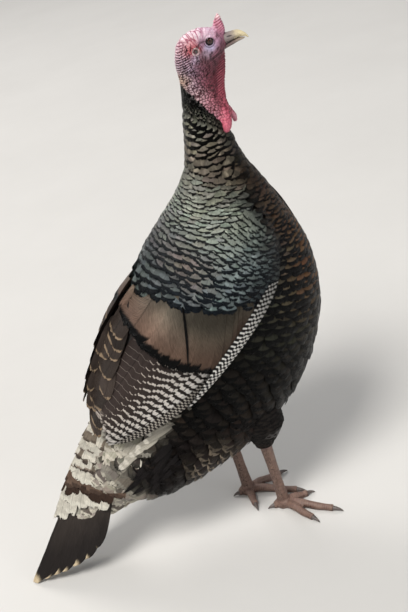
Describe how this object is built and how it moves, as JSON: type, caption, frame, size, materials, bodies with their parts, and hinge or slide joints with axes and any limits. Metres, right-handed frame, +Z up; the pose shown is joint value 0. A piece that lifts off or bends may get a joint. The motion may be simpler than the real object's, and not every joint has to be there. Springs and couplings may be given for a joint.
{
  "type": "wild turkey model",
  "caption": "Life-size model of a wild turkey gobbler standing upright with folded wings and a folded tail that slopes down to the floor.",
  "frame": {"origin": "centre of the bounding box's underside, on the floor between the feet and the tail's tip", "axes": "+X towards the bill, +Y to the bird's left, +Z up"},
  "size_m": [0.6918, 0.293, 0.9733],
  "materials": {
    "head_skin": "matte bare skin",
    "neck_skin": "matte wrinkled skin",
    "wattle_skin": "satin bare skin",
    "body_feathers": "satin bronze-green feathers",
    "black_feathers": "satin black feathers",
    "covert_feathers": "satin copper feathers",
    "flight_feathers": "matte barred feathers",
    "tail_covert_feathers": "matte cream feathers",
    "tail_feathers": "matte dark feathers",
    "leg_scales": "matte scales",
    "claw_horn": "satin horn",
    "bill_horn": "satin horn",
    "lower_bill_horn": "satin horn",
    "eye": "wet gloss"
  },
  "bodies": {
    "root": {"head": "head_skin", "neck_bare": "neck_skin", "neck_feathered": "body_feathers", "mantle": "body_feathers", "breast": "body_feathers", "rump": "black_feathers", "belly": "black_feathers", "bill_upper": "bill_horn", "bill_lower": "lower_bill_horn", "eye_right": "eye", "eye_left": "eye", "snood": "wattle_skin", "dewlap": "neck_skin", "beard": "black_feathers", "tail_feathers": "tail_feathers", "tail_coverts_upper": "tail_covert_feathers", "tail_coverts_under": "black_feathers", "wing_shoulder_right": "body_feathers", "wing_coverts_right": "covert_feathers", "wing_flight_right": "flight_feathers", "thigh_right": "black_feathers", "shank_right": "leg_scales", "foot_right": "leg_scales", "claw_inner_right": "claw_horn", "claw_middle_right": "claw_horn", "claw_outer_right": "claw_horn", "claw_hind_right": "claw_horn", "wing_shoulder_left": "body_feathers", "wing_coverts_left": "covert_feathers", "wing_flight_left": "flight_feathers", "thigh_left": "black_feathers", "shank_left": "leg_scales", "foot_left": "leg_scales", "claw_inner_left": "claw_horn", "claw_middle_left": "claw_horn", "claw_outer_left": "claw_horn", "claw_hind_left": "claw_horn"}
  },
  "joints": []
}
